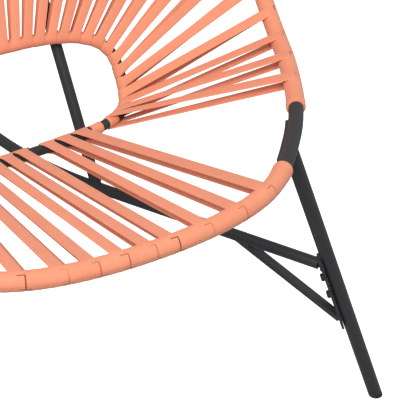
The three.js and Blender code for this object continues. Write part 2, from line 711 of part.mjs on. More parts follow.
addFrontLeg(1, "right");
addFrontLeg(-1, "left");
addBaseBar();
addStrut(1, "right");
addStrut(-1, "left");
addRearLeg();

// The origin lies on the floor below the middle of the whole chair
const bounds = new THREE.Box3().setFromObject(chair);
chair.position.y = -(bounds.min.y + bounds.max.y) / 2;

const part = new THREE.Group();
part.add(chair);
export default part;
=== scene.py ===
"""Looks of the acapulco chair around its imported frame.

Lengths here are millimetres and become metres in each mesh. Places on the hoop and the ring are shares of half their
length, counted from the front middle to the right."""

import math

import bpy
import numpy as np
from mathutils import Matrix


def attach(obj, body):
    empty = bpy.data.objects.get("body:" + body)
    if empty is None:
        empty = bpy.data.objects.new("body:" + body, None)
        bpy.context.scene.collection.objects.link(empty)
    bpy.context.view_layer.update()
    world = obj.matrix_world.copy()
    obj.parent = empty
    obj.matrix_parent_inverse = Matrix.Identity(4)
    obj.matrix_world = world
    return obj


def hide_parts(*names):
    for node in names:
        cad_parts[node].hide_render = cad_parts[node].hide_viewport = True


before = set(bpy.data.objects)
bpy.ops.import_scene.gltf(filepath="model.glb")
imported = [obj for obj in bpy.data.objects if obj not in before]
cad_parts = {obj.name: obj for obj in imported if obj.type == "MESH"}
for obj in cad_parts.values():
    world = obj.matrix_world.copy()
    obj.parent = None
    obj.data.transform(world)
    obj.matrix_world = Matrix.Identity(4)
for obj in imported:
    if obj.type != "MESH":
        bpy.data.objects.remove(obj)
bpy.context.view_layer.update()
SHIFT_Y = -25.4805
MM = 0.001

# The photograph's camera
camera_data = bpy.data.cameras.new("photo_camera")
camera_data.sensor_width = 36
camera_data.lens = 142.80
camera_data.shift_x = 0.34857
camera_data.shift_y = 0.58520
camera = bpy.data.objects.new("photo_camera", camera_data)
camera.location = (-0.758707, -1.535332 + SHIFT_Y * MM, 1.518096)
camera.rotation_euler = (math.radians(45.0), 0, math.radians(-28.8))
bpy.context.scene.collection.objects.link(camera)
bpy.context.scene.camera = camera
bpy.context.scene.view_settings.view_transform = "Standard"

# Sizes that repeat the part's own. START is y and z, BACK_FIRST is on hoop and ring, and BARE is from and to
START = (-370, 427)
FALL = math.radians(2.7)
RISE = math.radians(54.6)
BEND_MIDDLE = 380.7
HOOP_BEND = 170
HOOP_CENTRE = 371.1
HOOP_ANGLES = [-90, -65, -45, -25, 0, 25, 50, 90]
HOOP_RADII = [361.2, 369.1, 356.7, 354.7, 382.7, 434.5, 489.2, 536.9]
HOOP_R = 9
RING_CENTRE = 415.4
RING_HALF = (187.8, 73.4)
RING_SQUARENESS = 3
RING_BEND = 43.8
RING_DROP = 71.1
RING_R = 6.5
SEAT_HOOP = [-0.1186, -0.0852, -0.0592, -0.0341, -0.0092, 0.0114, 0.0449, 0.0809, 0.1193]
SEAT_RING = [-0.233, -0.17, -0.119, -0.069, -0.0221, 0.025, 0.106, 0.1562, 0.2113]
BACK_LOOPS = 38
BACK_FIRST = (0.308, 0.335)
BACK_HOOP, BACK_RING = (list(np.linspace(first, 2 - first, BACK_LOOPS)) for first in BACK_FIRST)
BARE = (0.1645, 0.265)
WRAP_REACH = 0.0095
LOOP_LIFT = 1.2
LOOP_T = 1.6
LEG_R = 9
FOOT = (394.3, -312.4)
LEG_SHARE = 0.196
SADDLE_SPREAD = 0.034
SADDLE_INNER = math.radians(78)
SADDLE_OUTER = math.radians(22)
PLATE_T = 3
GAP = 0.3
BAR_Z = 243
BAR_R = 7.3
BAR_HEADING = math.radians(30.9)
PLATE_HEADING = math.radians(66)
BAR_STRAIGHT = 316.4
EASE_R = 490
EASE_TURN = math.radians(22)
BAR_BACK = 318
REAR_TILT = math.radians(17)
REAR_RISE = 25
STRUT_R = 7.3
STRUT_SHARE = 0.921
STRUT_LEAN = math.radians(31)
STRUT_REACH = 8
SOLE = 5

# Sizes of the looks. The seams' middle and span and SOFT_EDGE are degrees, and TAB serves as both
OUTLINE_POINTS = 3000
TUBE_SIDES = 28
STRAP_T = 1.7
STRAP_CROWN = 0.18
STRAP_WAIST = 0.04
WIDEST_AT_HOOP = 27
ROOM_LEFT = 0.4
RUN_STEPS = [0.04, 0.1, *np.linspace(0.18, 0.86, 9), 0.93, 0.965, 0.98, 0.99]
FLARE_SHARE = 0.022
HOOP_ARC_STEPS = 21
RING_ARC_STEPS = 13
LIFT = 0.3
RIB_PITCH = 2.9
PICK_PITCH = 2.5
WRAP_R = 11.25
WRAP_BORE = 9.05
WRAP_SIDES = 44
WRAP_STEP = 1.6
TURN_PITCH = 12.5
TURN_EDGE = 0.28
END_SWELL = 0.75
END_ROUND = 2.4
SEAM_OFFSET = 9.5
SEAM_MIDDLE = 25
SEAM_SPAN = 45
TAB = 4.2
NO_SEAM = -99.0
SEAM_MARKS = (-1.3, 0, 1.3, TAB, 7.5)
SEAM_MARGIN = 2
END_RINGS = [0, 0.4, 0.9]
END_CLEAR = 1.3
BORE_STEP = 8
LOW_RUN_ANGLE = math.radians(150)
SUNK = 1.6
SINKS_FROM = math.radians(80)
SINKS_OVER = math.radians(25)
VARIED = [0, 0.6, -0.4, 0.9, -0.8, 0.3, -0.2]
RING_SLEEVES = [(0.247, 0.285), (0.309, 0.345), (0.6, 1.665), (1.691, 1.715), (1.738, 1.753)]
SLEEVE_SIDES = 32
SLEEVE_T = 0.5
SLEEVE_CROWN = 0.35
SLEEVE_RIPPLE = 0.16
SADDLE_CLEAR = 0.25
SADDLE_T = 3.3
LEG_END = 4
WELD_BEAD = 1.3
SOFT_EDGE = 80


def vec(*v):
    return np.array(v, float)


def unit(v):
    return v / np.linalg.norm(v)


# Materials


class Nodes:
    """Short calls for a material's node tree."""

    def __init__(self, name):
        self.material = bpy.data.materials.new(name)
        self.material.use_nodes = True
        self.tree = self.material.node_tree
        self.shader = self.tree.nodes["Principled BSDF"]

    def new(self, kind, **values):
        node = self.tree.nodes.new(kind)
        for key, value in values.items():
            setattr(node, key, value)
        return node

    def put(self, socket, value):
        if hasattr(value, "is_output"):
            self.tree.links.new(value, socket)
        else:
            socket.default_value = value

    def math(self, operation, *values, clamp=False):
        node = self.new("ShaderNodeMath", operation=operation, use_clamp=clamp)
        for k, value in enumerate(values):
            self.put(node.inputs[k], value)
        return node.outputs[0]

    def mix(self, factor, a, b):
        node = self.new("ShaderNodeMix", data_type="RGBA")
        self.put(node.inputs["Factor"], factor)
        self.put(node.inputs[6], a)
        self.put(node.inputs[7], b)
        return node.outputs[2]

    def noise(self, scale, detail=3.0, vector=None):
        node = self.new("ShaderNodeTexNoise")
        node.inputs["Scale"].default_value = scale
        node.inputs["Detail"].default_value = detail
        self.put(node.inputs["Vector"], vector or self.place())
        return node.outputs["Fac"]

    def place(self):
        return self.new("ShaderNodeTexCoord").outputs["Object"]

    def attribute(self, name):
        node = self.new("ShaderNodeAttribute", attribute_name=name)
        parts = self.new("ShaderNodeSeparateXYZ")
        self.put(parts.inputs[0], node.outputs["Vector"])
        return parts.outputs

    def bump(self, height, distance, strength):
        node = self.new("ShaderNodeBump")
        node.inputs["Distance"].default_value = distance
        node.inputs["Strength"].default_value = strength
        self.put(node.inputs["Height"], height)
        self.put(self.shader.inputs["Normal"], node.outputs["Normal"])

    def wave(self, value, period):
        turns = self.math("MULTIPLY", value, 2 * math.pi / period)
        return self.math("SINE", turns)


def seam_groove_shade_mask(n):
    """Seams of the wound strap: a line part of the way round the hoop with a tab at either end, as the mask that
    sinks their grooves and paints shade into them.
    """
    line, tab, angle = n.attribute("seam_groove_shade")

    def near(value, middle, reach):
        away = n.math("ABSOLUTE", n.math("SUBTRACT", value, middle))
        return n.math("SUBTRACT", 1.0, n.math("DIVIDE", away, reach), clamp=True)

    def within(value, middle, reach):
        away = n.math("ABSOLUTE", n.math("SUBTRACT", value, middle))
        return n.math("LESS_THAN", away, reach)

    across = n.math("MULTIPLY", near(line, 0.0, 1.0), within(angle, SEAM_MIDDLE, SEAM_SPAN))
    top_tab = n.math("MULTIPLY", near(angle, SEAM_MIDDLE + SEAM_SPAN, TAB), within(tab, 0.0, TAB))
    low_tab = n.math("MULTIPLY", near(angle, SEAM_MIDDLE - SEAM_SPAN, TAB), within(line, 3.2, 3.2))
    mask = n.math("MAXIMUM", across, n.math("MAXIMUM", top_tab, low_tab))
    depth = n.math("MULTIPLY", n.math("SUBTRACT", n.noise(14, 1), 0.26), 4.0, clamp=True)
    return n.math("MULTIPLY", n.math("MULTIPLY", mask, 1.6, clamp=True), depth)


def strap_material(name, tone, seams):
    n = Nodes(name)
    along, across, _ = n.attribute("lay")
    rib = n.wave(across, RIB_PITCH)
    weave = n.math("MULTIPLY", rib, n.wave(along, PICK_PITCH))
    relief = n.math("ADD", n.math("MULTIPLY", weave, 0.5), n.math("MULTIPLY", rib, 0.35))
    cloth, fine = n.noise(38, 4), n.noise(900, 2)
    shade = n.math("ADD", n.math("MULTIPLY", cloth, 0.6), n.math("MULTIPLY", fine, 0.4))

    def toned(*factors):
        return (*(c * f for c, f in zip(tone, factors)), 1)

    light, deep = toned(1, 1, 1), toned(0.8, 0.7, 0.66)
    hollow_shade, seam_groove_shade = toned(0.55, 0.42, 0.38), toned(0.25, 0.16, 0.14)
    colour = n.mix(shade, deep, light)
    # Painted shade: the low parts of the weave are mixed towards a darker copy of the tone, as shade in its hollows.
    hollow_shade_mix = n.math("MULTIPLY", n.math("SUBTRACT", 0.0, relief), 0.55, clamp=True)
    colour = n.mix(hollow_shade_mix, colour, hollow_shade)
    height = n.math("ADD", relief, n.math("MULTIPLY", fine, 0.8))
    if seams:
        mask = seam_groove_shade_mask(n)
        # Painted shade: the seams are mixed towards a dark copy of the tone, and the same mask sinks them in the
        # bump.
        colour = n.mix(mask, colour, seam_groove_shade)
        height = n.math("SUBTRACT", height, n.math("MULTIPLY", mask, 5.0))
    n.put(n.shader.inputs["Base Color"], colour)
    n.shader.inputs["Roughness"].default_value = 0.62
    n.shader.inputs["Sheen Weight"].default_value = 0.15
    n.shader.inputs["Sheen Roughness"].default_value = 0.5
    n.shader.inputs["Specular IOR Level"].default_value = 0.25
    n.bump(height, 0.00018, 0.8)
    return n.material


def coat_material(name, base, roughness, grain=420, relief=0.00006):
    n = Nodes(name)
    patch = n.noise(14, 3)
    pebble = n.noise(grain, 2)
    tone = (*base, 1)
    worn = tuple(min(1, c * 1.35 + 0.004) for c in base) + (1,)
    n.put(n.shader.inputs["Base Color"], n.mix(n.math("MULTIPLY", patch, 0.6), tone, worn))
    spread = n.math("ADD", roughness - 0.06, n.math("MULTIPLY", patch, 0.12))
    n.put(n.shader.inputs["Roughness"], spread)
    n.shader.inputs["Specular IOR Level"].default_value = 0.22
    n.bump(pebble, relief, 0.35)
    return n.material


TONE = (0.885, 0.331, 0.192)
FADE = 0.025
strap_tones = [
    strap_material(f"woven_strap_{k}", [c * (1 - FADE * k) for c in TONE], False) for k in range(3)
]
wrap_tone = strap_material("woven_strap_wrap", TONE, True)
powder = coat_material("powder_coat", (0.0255, 0.0262, 0.029), 0.4)
bolt_black = coat_material("black_bolt", (0.014, 0.014, 0.015), 0.35, 900, 0.00002)
rubber = coat_material("moulded_rubber", (0.016, 0.016, 0.017), 0.7, 700, 0.0001)


# Meshes


def build(name, points, faces, material, node=None, attributes=None, sharp=40):
    mesh = bpy.data.meshes.new(name)
    placed = np.asarray(points, float) + vec(0, SHIFT_Y, 0)
    mesh.from_pydata((placed * MM).tolist(), [], faces)
    mesh.update()
    for key, values in (attributes or {}).items():
        layer = mesh.attributes.new(key, "FLOAT_VECTOR", "POINT")
        layer.data.foreach_set("vector", np.asarray(values, np.float32).ravel())
    mesh.materials.append(material)
    piece = bpy.data.objects.new(name, mesh)
    bpy.context.scene.collection.objects.link(piece)
    mesh.shade_smooth()
    mesh.set_sharp_from_angle(angle=math.radians(sharp))
    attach(piece, "root")
    if node:
        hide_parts(node)


def grid(rings, closed):
    """Faces over a row of rings with as many points each, and two flat ends where the row doesn't close."""
    rows, count = len(rings), len(rings[0])
    faces = []
    for i in range(rows if closed else rows - 1):
        here, following = i * count, (i + 1) % rows * count
        for k in range(count):
            j = (k + 1) % count
            faces.append((here + k, here + j, following + j, following + k))
    if not closed:
        faces.append(tuple(reversed(range(count))))
        faces.append(tuple((rows - 1) * count + k for k in range(count)))
    return faces


def outward(points, faces):
    """The faces, turned round if they point inwards."""
    p = np.asarray(points, float)
    total = 0
    for f in faces:
        for a, b in zip(f[1:-1], f[2:]):
            total += np.dot(p[f[0]], np.cross(p[a], p[b]))
    return [tuple(reversed(f)) for f in faces] if total < 0 else faces


def skin(name, rings, closed, material, node=None, attributes=None, sharp=40):
    """A piece whose surface runs over a row of rings of points."""
    points = np.concatenate(rings)
    build(name, points, outward(points, grid(rings, closed)), material, node, attributes, sharp)


def circle_points(point, out, up, radius, sides, start=0.0, end=2 * math.pi, closed=True):
    angles = np.linspace(start, end, sides + (0 if closed else 1), endpoint=not closed)
    return point + radius * (np.outer(np.cos(angles), out) + np.outer(np.sin(angles), up))


def turned(name, profile, origin, direction, node, sides=40):
    """A solid of revolution; its profile lists radius and height and starts and ends on the axis."""
    d = unit(direction)
    side = unit(np.cross(d, vec(0.3, 0.9, 0.31)))
    other = np.cross(d, side)
    rings = [circle_points(origin + d * h, side, other, r, sides) for r, h in profile[1:-1]]
    points = [p for ring in rings for p in ring]
    points += [origin + d * profile[0][1], origin + d * profile[-1][1]]
    faces = grid(rings, False)[:-2]
    first, last, base = len(points) - 2, len(points) - 1, (len(rings) - 1) * sides
    for k in range(sides):
        j = (k + 1) % sides
        faces.append((first, j, k))
        faces.append((last, base + k, base + j))
    build(name, points, outward(points, faces), powder, node, sharp=30)


def rod(name, start, end, radius, node, ease=0.8):
    length = np.linalg.norm(end - start)
    lower = [(0, 0), (radius - ease, 0), (radius, ease)]
    upper = [(radius, length - ease), (radius - ease, length), (0, length)]
    turned(name, lower + upper, start, end - start, node)


# Curves


def profile_at(length, bend):
    half = bend * (FALL + RISE) / 2
    start = BEND_MIDDLE - half
    flat = np.minimum(length, start)
    y = START[0] + flat * math.cos(FALL)
    z = START[1] - flat * math.sin(FALL)
    heading = np.clip(length - start, 0, 2 * half) / bend - FALL
    up = np.maximum(length - BEND_MIDDLE - half, 0)
    y = y + bend * (np.sin(heading) + math.sin(FALL)) + up * np.cos(heading)
    z = z + bend * (math.cos(FALL) - np.cos(heading)) + up * np.sin(heading)
    return y, z, heading


class Loop:
    """A flat outline laid on the side profile, with places on it by share."""

    def __init__(self, flat, bend, drop):
        y, z, heading = profile_at(flat[:, 1], bend)
        self.points = np.stack([flat[:, 0], y, z - drop], 1)
        steps = np.linalg.norm(np.diff(np.vstack([self.points, self.points[:1]]), axis=0), axis=1)
        self.lengths = np.concatenate([[0], np.cumsum(steps)])
        self.half = self.lengths[-1] / 2
        self.heading = heading

    def value(self, share):
        s = share % 2 * self.half
        rows = np.column_stack([self.points, self.heading])
        rows = np.vstack([rows, rows[:1]])
        return np.array([np.interp(s, self.lengths, rows[:, k]) for k in range(4)])

    def at(self, share):
        step = 1.5 / self.half
        here = self.value(share)
        along = unit(self.value(share + step)[:3] - self.value(share - step)[:3])
        up = vec(0, -math.sin(here[3]), math.cos(here[3]))
        out = unit(np.cross(along, up))
        return here[:3], along, out, np.cross(out, along)


def spline(points, count):
    """A closed centripetal Catmull-Rom curve through the points."""
    p, n, curve = np.asarray(points, float), len(points), []
    for t in np.arange(count) / count * n:
        k = int(t)
        w = t - k
        a, b, c, d = (p[(k + j) % n] for j in (-1, 0, 1, 2))
        ab, bc, cd = (math.sqrt(np.linalg.norm(v)) for v in (b - a, c - b, d - c))
        m1 = ((b - a) / ab - (c - a) / (ab + bc) + (c - b) / bc) * bc
        m2 = ((c - b) / bc - (d - b) / (bc + cd) + (d - c) / cd) * bc
        curve.append(b + m1 * w + (3 * (c - b) - 2 * m1 - m2) * w * w + (2 * (b - c) + m1 + m2) * w**3)
    return np.array(curve)


def hoop_outline():
    side = []
    for angle, radius in zip(map(math.radians, HOOP_ANGLES), HOOP_RADII):
        side.append((radius * math.cos(angle), HOOP_CENTRE + radius * math.sin(angle)))
    return spline(side + [(-x, y) for x, y in reversed(side[1:-1])], OUTLINE_POINTS)


def ring_outline():
    t = (np.arange(OUTLINE_POINTS) / OUTLINE_POINTS - 0.25) * 2 * math.pi
    power = 2 / RING_SQUARENESS
    x = RING_HALF[0] * np.sign(np.cos(t)) * np.abs(np.cos(t)) ** power
    y = RING_CENTRE + RING_HALF[1] * np.sign(np.sin(t)) * np.abs(np.sin(t)) ** power
    return np.stack([x, y], 1)


hoop = Loop(hoop_outline(), HOOP_BEND, 0)
ring = Loop(ring_outline(), RING_BEND, RING_DROP)


def loop_tube(name, loop, radius, stations, node):
    rings = []
    for k in range(stations):
        point, _, out, up = loop.at(2 * k / stations)
        rings.append(circle_points(point, out, up, radius, TUBE_SIDES))
    skin(name, rings, True, powder, node)


loop_tube("hoop_tube_smooth", hoop, HOOP_R, 360, "hoop_tube")
loop_tube("inner_ring_smooth", ring, RING_R, 240, "inner_ring")


# Straps


def band_section(width, thickness):
    """Offsets across and through a flat strap with rounded edges and a slightly crowned face."""
    half, r = width / 2, thickness / 2
    flat = [(half - r) * k / 3 for k in (-3, -1, 1, 3)]
    top = [(x, r * (1 - STRAP_CROWN * (x / half) ** 2)) for x in flat]
    low = 1 - STRAP_CROWN
    edge = [(half - r + r * math.cos(a), low * r * math.sin(a)) for a in np.radians([50, 0, -50])]
    bottom = [(x, -y) for x, y in reversed(top)]
    other = [(-x, -y) for x, y in edge]
    return np.array(top + edge + bottom + other)


def loop_path(hoop_share, ring_share, room, advance, lift, widths):
    """Stations of a strap loop: point, width direction and width, through direction.

    room is the length of ring that it spreads over on the open side, and advance says how far the run underneath is
    laid further on at hoop and ring. lift sets it a hair further out than its neighbours. widths are those at hoop
    and ring, the widest that it lies on the ring, and the share of its room that it takes on top of the ring."""
    at_hoop, at_ring, widest, flare_share = widths
    hp, ha, _, hu = hoop.at(hoop_share)
    rp, ra, _, ru = ring.at(ring_share)
    run = unit(rp - hp)
    if np.dot(ha, ra) < 0:
        ra = -ra
    ends = []
    for point, along, up, sign, radius, wide, most in (
        (hp, ha, hu, -1, WRAP_R - 0.2, at_hoop, WIDEST_AT_HOOP),
        (rp, ra, ru, 1, RING_R + STRAP_T / 2 + 0.15 + lift, at_ring, min(widest, room - ROOM_LEFT)),
    ):
        out = sign * unit(run - along * np.dot(run, along))
        level = unit(up - along * np.dot(up, along) - out * np.dot(up, out))
        slant = math.sqrt(1 - np.dot(run, along) ** 2)
        ends.append((point, along, out, level, radius, min(wide / slant, most)))
    stations = []

    def arc(end, start, stop, steps, moved, spread, sink):
        point, along, out, up, full, width = end
        for k, a in enumerate(np.linspace(start, stop, steps)):
            radius = full - sink * min(1, max(0, (SINKS_FROM - a) / SINKS_OVER))
            through = out * math.cos(a) + up * math.sin(a)
            shift = moved[0] + (moved[1] - moved[0]) * k / (steps - 1)
            wide = width + max(0, spread - width) * min(1, math.cos(a) + flare_share)
            stations.append((point + radius * through + along * shift, along, wide, through))

    def straight(a, b, through_a, through_b, near_ring):
        (pa, wa, sa), (pb, wb, sb) = a, b
        for t in RUN_STEPS if near_ring == 1 else [1 - t for t in reversed(RUN_STEPS)]:
            flare = max(0, 1 - abs(near_ring - t) / FLARE_SHARE)
            across = unit(wa * (1 - t) + wb * t)
            through = unit(through_a * (1 - t) + through_b * t)
            wide = (sa * (1 - t) + sb * t) * (1 - math.sin(math.pi * t) * STRAP_WAIST)
            wide = min(wide, at_hoop / math.sqrt(1 - np.dot(run, across) ** 2))
            wide += max(0, room - wide) * flare_share * flare
            stations.append((pa * (1 - t) + pb * t, across, wide, through))

    def leaving(end, sign, shift):
        return end[0] + sign * end[4] * end[3] + end[1] * shift, end[1], end[5]

    half = math.pi / 2
    h, r = ends
    hoop_advance, ring_advance = advance
    low = -LOW_RUN_ANGLE
    arc(h, low, half, HOOP_ARC_STEPS, (hoop_advance, 0), 0, SUNK)
    straight(leaving(h, 1, 0), leaving(r, 1, 0), h[3], r[3], 1)
    arc(r, half, -half, RING_ARC_STEPS, (0, ring_advance), room + 2 * ROOM_LEFT, 0)
    point, along, out, up, radius, width = h
    lowest = point + (radius - SUNK) * (out * math.cos(low) + up * math.sin(low)) + along * hoop_advance
    straight(leaving(r, -1, ring_advance), (lowest, along, width), -r[3], -up, 0)
    return stations


def add_loop(name, tone, node, stations):
    """A strap loop over its stations, closed on itself. The weave follows the attribute lay."""
    centres = np.array([s[0] for s in stations])
    travelled, rings, lay = 0, [], []
    for k, (point, across, width, through) in enumerate(stations):
        section = band_section(width, STRAP_T)
        rings.append(point + np.outer(section[:, 0], across) + np.outer(section[:, 1], through))
        lay += [(travelled, x, 0) for x in section[:, 0]]
        travelled += np.linalg.norm(centres[(k + 1) % len(centres)] - point)
    skin(name, rings, True, tone, node, {"lay": lay}, SOFT_EDGE)


def wrap_stations(reach, seams, ends):
    """Distances along a length of wound strap, with extra ones at its seams and where it stops at bare tube."""
    marks = [seam_groove_shade + d for seam_groove_shade in seams for d in SEAM_MARKS]
    marks = [s for s in marks if SEAM_MARGIN < s < reach - SEAM_MARGIN]
    stations = sorted(list(np.arange(0, reach, WRAP_STEP)) + marks) + [reach]
    if ends[0]:
        stations = END_RINGS + [s for s in stations if s > END_CLEAR]
    if ends[1]:
        stations = [s for s in stations if s < reach - END_CLEAR] + [reach - s for s in reversed(END_RINGS)]
    return stations


def add_wrap(name, node, first, last, loop_shares=(), ends=(False, False)):
    """A length of the wound strap round the hoop. ends says which end stops at bare tube: first, last."""
    half = hoop.half
    reach = (last - first) * half
    seams = np.array([(share - first) * half + SEAM_OFFSET for share in loop_shares] or [NO_SEAM])
    angles = np.arange(WRAP_SIDES) / WRAP_SIDES * 2 * math.pi
    degrees = np.degrees((angles + math.pi) % (2 * math.pi) - math.pi)
    rings, lay, seam_groove_shade = [], [], []
    for s in wrap_stations(reach, seams, ends):
        point, _, out, up = hoop.at(first + s / half)
        absolute = first * half + s
        phase = (absolute / TURN_PITCH + angles / (2 * math.pi)) % 1
        slope = np.clip((phase - 0.1) / 0.9, 0, 1) ** 2
        step = np.clip(1 - phase / 0.07, 0, 1)
        radius = WRAP_R - TURN_EDGE * slope - TURN_EDGE * step
        for stops, distance in zip(ends, (s, reach - s)):
            if stops:
                swell = END_SWELL * math.exp(-(((distance - 5) / 13) ** 2))
                close = min(1, distance / END_ROUND)
                edge = math.sqrt(max(0, 1 - (1 - close) ** 2))
                radius = (radius + swell) * edge + (HOOP_R + 0.15) * (1 - edge)
        rings.append(circle_points(point, out, up, radius[:, None], WRAP_SIDES))
        # The distances to the seams place their sunk groove and their painted shade in the strap material.
        line = float(np.min(np.abs(seams - s)))
        tab = float(np.min(np.abs(seams - TAB - s)))
        lay += [(a * WRAP_R, absolute, 0) for a in angles]
        seam_groove_shade += [(line, tab, d) for d in degrees]
    for s in np.linspace(reach, 0, max(3, int(reach / BORE_STEP))):
        point, _, out, up = hoop.at(first + s / half)
        rings.append(circle_points(point, out, up, WRAP_BORE, WRAP_SIDES))
        lay += [(a * WRAP_R, first * half + s, 0) for a in angles]
        seam_groove_shade += [(90, 90, 0)] * WRAP_SIDES
    skin(name, rings, True, wrap_tone, node, {"lay": lay, "seam_groove_shade": seam_groove_shade}, SOFT_EDGE)


def seat_widening(share):
    return 1 + max(0, share - 0.02) * 1.7


def back_widening(share):
    return 1 + max(0, abs(share - 1) - 0.62) * 4


def add_straps(prefix, label, hoop_shares, ring_shares, per_node, advances, widths, widening):
    """The wound strap and the loops of the seat or the back, per_node of them for each node of the part."""
    first = hoop_shares[0] - WRAP_REACH
    last = hoop_shares[-1] + WRAP_REACH
    for k in range(0, len(hoop_shares), per_node):
        own = hoop_shares[k : k + per_node]
        start = first if k == 0 else (hoop_shares[k - 1] + own[0]) / 2
        stop = last if k + per_node >= len(hoop_shares) else (own[-1] + hoop_shares[k + per_node]) / 2
        number = f"{k // per_node + 1:02d}"
        node = prefix + number
        add_wrap(f"{label}_wrap_{number}", node, start, stop, own)
        for j, share in enumerate(own, k):
            beside = [ring_shares[n] for n in (j - 1, j + 1) if 0 <= n < len(ring_shares)]
            room = min(abs(ring_shares[j] - other) for other in beside) * ring.half
            vary = VARIED[j % len(VARIED)]
            advance = (advances[0] + 3 * vary, advances[1] + vary)
            sizes = [width * widening(share) for width in widths[:3]] + [widths[3]]
            stations = loop_path(share, ring_shares[j], room, advance, LIFT * (j % 2), sizes)
            add_loop(f"{label}_loop_{j + 1:02d}", strap_tones[j % len(strap_tones)], node, stations)


add_straps("seat_strap_", "seat", SEAT_HOOP, SEAT_RING, 1, (12, 12), (15.6, 15.2, 18, 0.8), seat_widening)
add_straps("back_straps_", "back", BACK_HOOP, BACK_RING, 2, (8, -4), (14.2, 12, 12.5, 0.3), back_widening)
for node, start, stop, stops in (
    ("seat_wrap_end_right", SEAT_HOOP[-1] + WRAP_REACH, BARE[0], (False, True)),
    ("seat_wrap_end_left", -BARE[0], SEAT_HOOP[0] - WRAP_REACH, (True, False)),
    ("back_wrap_end_right", BARE[1], BACK_HOOP[0] - WRAP_REACH, (True, False)),
    ("back_wrap_end_left", BACK_HOOP[-1] + WRAP_REACH, 2 - BARE[1], (False, True)),
):
    add_wrap(node + "_wound", node, start, stop, ends=stops)


def ring_sleeve(name, first, last):
    """Turns of strap round the ring where no loop covers it."""
    reach = (last - first) * ring.half
    angles = np.arange(SLEEVE_SIDES) / SLEEVE_SIDES * 2 * math.pi
    rings, lay = [], []
    for s in [0, 0.3] + list(np.arange(1.2, reach - 1.2, WRAP_STEP)) + [reach - 0.3, reach]:
        point, _, out, up = ring.at(first + s / ring.half)
        radius = RING_R + SLEEVE_T
        if 0.2 < s < reach - 0.2:
            radius = radius + SLEEVE_CROWN + SLEEVE_RIPPLE * math.cos(2 * math.pi * s / TURN_PITCH)
        rings.append(circle_points(point, out, up, radius, SLEEVE_SIDES))
        lay += [(a * RING_R, s, 0) for a in angles]
    for s in np.linspace(reach, 0, max(3, int(reach / 6))):
        point, _, out, up = ring.at(first + s / ring.half)
        rings.append(circle_points(point, out, up, RING_R + 0.05, SLEEVE_SIDES))
        lay += [(a * RING_R, s, 0) for a in angles]
    skin(name, rings, True, strap_tones[0], None, {"lay": lay}, SOFT_EDGE)


for number, (first, last) in enumerate(RING_SLEEVES, 1):
    ring_sleeve(f"ring_wrap_{number}", first, last)


# Base


def heading(angle):
    return vec(-math.sin(angle), math.cos(angle), 0)


def front_leg(side):
    foot = vec(side * FOOT[0], FOOT[1], 0)
    seat = hoop.at(side * LEG_SHARE)[0]
    up = unit(seat - foot)
    way, plate_way = (heading(angle) * vec(side, 1, 1) for angle in (BAR_HEADING, PLATE_HEADING))
    inward = unit(plate_way - up * np.dot(plate_way, up))
    start = foot + up * (BAR_Z / up[2]) + inward * (LEG_R + GAP + PLATE_T)
    return foot, seat, up, inward, way, start + up * ((BAR_Z - start[2]) / up[2])


def turn_points(start, angle, turn, radius, steps):
    """Points on an arc that leaves a start with a heading and turns left where turn is positive."""
    left = vec(-math.cos(angle), -math.sin(angle), 0) * math.copysign(1, turn)
    centre = start + left * radius
    x, y, _ = start - centre
    points = []
    for a in (turn * k / steps for k in range(1, steps + 1)):
        points.append(centre + vec(x * math.cos(a) - y * math.sin(a), x * math.sin(a) + y * math.cos(a), 0))
    return points


def bar_path():
    _, _, _, _, way, start = front_leg(1)
    ease_start = start + way * BAR_STRAIGHT
    begin = start + way * 0.4
    ease = turn_points(ease_start, BAR_HEADING, -EASE_TURN, EASE_R, 16)
    eased = BAR_HEADING - EASE_TURN
    last, slope, turn = ease[-1], math.tan(eased), math.pi / 2 - eased
    tight = last[0] - slope * (BAR_BACK - last[1])
    radius = tight / (math.cos(eased) - slope * (1 - math.sin(eased)))
    rise = BAR_BACK - radius * (1 - math.sin(eased)) - last[1]
    u_start = last + heading(eased) * (rise / math.cos(eased))
    half = [begin, ease_start, *ease, u_start, *turn_points(u_start, eased, turn, radius, 24)]
    return half + [p * vec(-1, 1, 1) for p in reversed(half[:-1])]


def sweep(name, centres, radius, node):
    centres = np.array(centres)
    before = np.vstack([centres[:1], centres[:-1]])
    after = np.vstack([centres[1:], centres[-1:]])
    rings = []
    for c, d in zip(centres, after - before):
        rings.append(circle_points(c, unit(np.cross(unit(d), vec(0, 0, 1))), vec(0, 0, 1), radius, 32))
    skin(name, rings, False, powder, node)


sweep("base_bar_smooth", bar_path(), BAR_R, "base_bar")


def foot_plug(name, foot, up, node):
    """A moulded plug in the leg's end, cut level where it stands, with a rounded edge."""
    side = unit(np.cross(up, vec(0, 1, 0) if abs(up[0]) > 0.05 else vec(1, 0, 0)))
    other = np.cross(up, side)
    rings = []
    for height, radius in ((0, LEG_R - 0.7), (0.25, LEG_R - 0.2), (0.8, LEG_R)):
        level = circle_points(foot, side, other, radius, 48)
        rings.append(level - np.outer((level[:, 2] - height) / up[2], up))
    rings.append(circle_points(foot + up * (SOLE - 0.3), side, other, LEG_R, 48))
    rings.append(circle_points(foot + up * SOLE, side, other, LEG_R - 0.4, 48))
    skin(name, rings, False, rubber, node, sharp=35)


def saddle(name, side, node):
    """The steel saddle under the bare hoop, which reaches further up on the inner side."""
    rings = []
    inner, outer = HOOP_R + SADDLE_CLEAR, HOOP_R + SADDLE_CLEAR + SADDLE_T
    start, stop = math.radians(-90) - SADDLE_INNER, math.radians(-90) + SADDLE_OUTER
    middle = side * (LEG_SHARE + SADDLE_SPREAD / 2)
    for t in np.linspace(-1, 1, 41):
        point, _, out, up = hoop.at(middle + side * t * SADDLE_SPREAD)
        thin = 0.5 if abs(t) > 0.985 else 0
        wall = circle_points(point, out, up, outer - thin, TUBE_SIDES, start, stop, False)
        bore = circle_points(point, out, up, inner, TUBE_SIDES, stop, start, False)
        rings.append(np.vstack([wall, bore]))
    skin(name, rings, False, powder, node, sharp=35)


